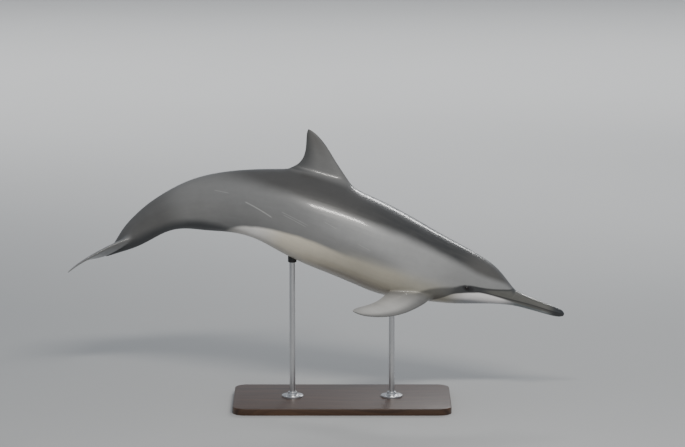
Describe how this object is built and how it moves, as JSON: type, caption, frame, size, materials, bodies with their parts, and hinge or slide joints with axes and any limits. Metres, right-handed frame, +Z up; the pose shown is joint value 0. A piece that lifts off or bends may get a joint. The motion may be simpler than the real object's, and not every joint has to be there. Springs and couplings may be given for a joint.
{
  "type": "spinner dolphin, life-size display model",
  "caption": "Life-size spinner dolphin in an arched leap, slender beak down and tail curling under, held up by steel rods on a flat wooden base.",
  "frame": {"origin": "centre of the stand base's underside", "axes": "+X towards the animal's head, +Y to the animal's left, +Z up; the animal's plane of symmetry is the XZ plane from the snout to behind the dorsal fin"},
  "size_m": [1.9132, 0.6832, 1.0697],
  "materials": {
    "back_skin": "wet dark grey skin of the back and tail",
    "flank_skin": "wet mid grey skin of the flanks, over a pale belly",
    "jaw_skin": "wet pale skin of the throat and lower jaw",
    "fin_skin": "wet dark grey skin of the fins",
    "eye": "polished near black",
    "stand_steel": "satin",
    "stand_wood": "dark stained, satin varnish"
  },
  "bodies": {
    "root": {"beak_upper": "back_skin", "jaw_lower": "jaw_skin", "head": "flank_skin", "neck": "flank_skin", "chest": "flank_skin", "trunk": "flank_skin", "tail_stock": "back_skin", "dorsal_fin": "fin_skin", "flipper_left": "fin_skin", "flipper_right": "fin_skin", "fluke_left": "fin_skin", "fluke_right": "fin_skin", "eye_left": "eye", "eye_right": "eye", "stand_base": "stand_wood", "stand_rod_front": "stand_steel", "stand_rod_rear": "stand_steel", "stand_flange_front": "stand_steel", "stand_flange_rear": "stand_steel"}
  },
  "joints": []
}
